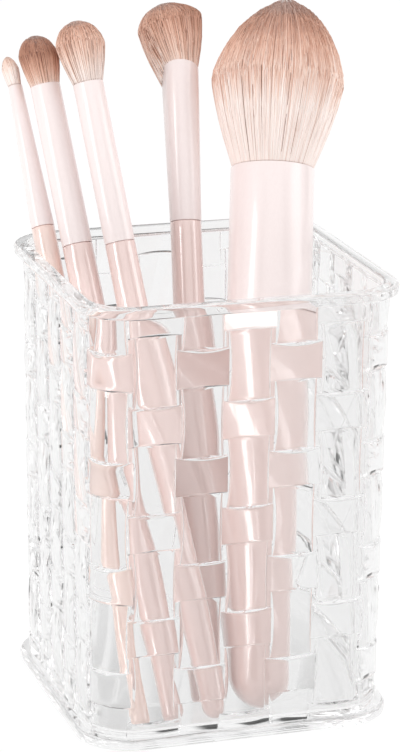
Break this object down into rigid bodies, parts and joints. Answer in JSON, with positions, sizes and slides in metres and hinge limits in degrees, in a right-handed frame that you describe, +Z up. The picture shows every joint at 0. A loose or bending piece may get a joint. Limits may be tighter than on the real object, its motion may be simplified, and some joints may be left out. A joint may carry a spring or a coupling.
{
  "type": "makeup brush holder",
  "caption": "Clear square cup moulded as a basket weave, with a lip and a foot flange, and the makeup brushes that stand in it and lift out.",
  "frame": {"origin": "centre of the cup's flat underside, on the surface it stands on", "axes": "+Z up, the cup's front face towards -Y, its left face (seen from the front) towards -X; the brushes lean back towards +Y"},
  "size_m": [0.0895, 0.0916, 0.1735],
  "materials": {
    "cup_plastic": "clear, polished",
    "handle_lacquer": "gloss lacquer",
    "pencil_handle_lacquer": "gloss lacquer",
    "ferrule_paint": "gloss painted",
    "resin": "cast",
    "hair_fibre": "soft"
  },
  "bodies": {
    "cup": {"woven_cup": "cup_plastic"},
    "pencil_brush": {"pencil_brush_handle": "pencil_handle_lacquer", "pencil_brush_ferrule": "ferrule_paint", "pencil_brush_resin_plug": "resin", "pencil_brush_hair": "hair_fibre"},
    "shader_brush": {"shader_brush_handle": "handle_lacquer", "shader_brush_ferrule": "ferrule_paint", "shader_brush_resin_plug": "resin", "shader_brush_hair": "hair_fibre"},
    "blending_brush": {"blending_brush_handle": "handle_lacquer", "blending_brush_ferrule": "ferrule_paint", "blending_brush_resin_plug": "resin", "blending_brush_hair": "hair_fibre"},
    "contour_brush": {"contour_brush_handle": "handle_lacquer", "contour_brush_ferrule": "ferrule_paint", "contour_brush_resin_plug": "resin", "contour_brush_hair": "hair_fibre"},
    "powder_brush": {"powder_brush_handle": "handle_lacquer", "powder_brush_ferrule": "ferrule_paint", "powder_brush_resin_plug": "resin", "powder_brush_hair": "hair_fibre"}
  },
  "joints": [
    {"name": "pencil_brush_lift", "type": "slide", "parent": "cup", "child": "pencil_brush", "axis": [-0.0644, 0.4717, 0.8794], "range_m": [0, 0.13]},
    {"name": "shader_brush_lift", "type": "slide", "parent": "cup", "child": "shader_brush", "axis": [-0.0809, 0.4324, 0.898], "range_m": [0, 0.13]},
    {"name": "blending_brush_lift", "type": "slide", "parent": "cup", "child": "blending_brush", "axis": [-0.0908, 0.3888, 0.9168], "range_m": [0, 0.13]},
    {"name": "contour_brush_lift", "type": "slide", "parent": "cup", "child": "contour_brush", "axis": [0.075, 0.3929, 0.9165], "range_m": [0, 0.13]},
    {"name": "powder_brush_lift", "type": "slide", "parent": "cup", "child": "powder_brush", "axis": [0.1428, 0.3878, 0.9106], "range_m": [0, 0.13]}
  ]
}
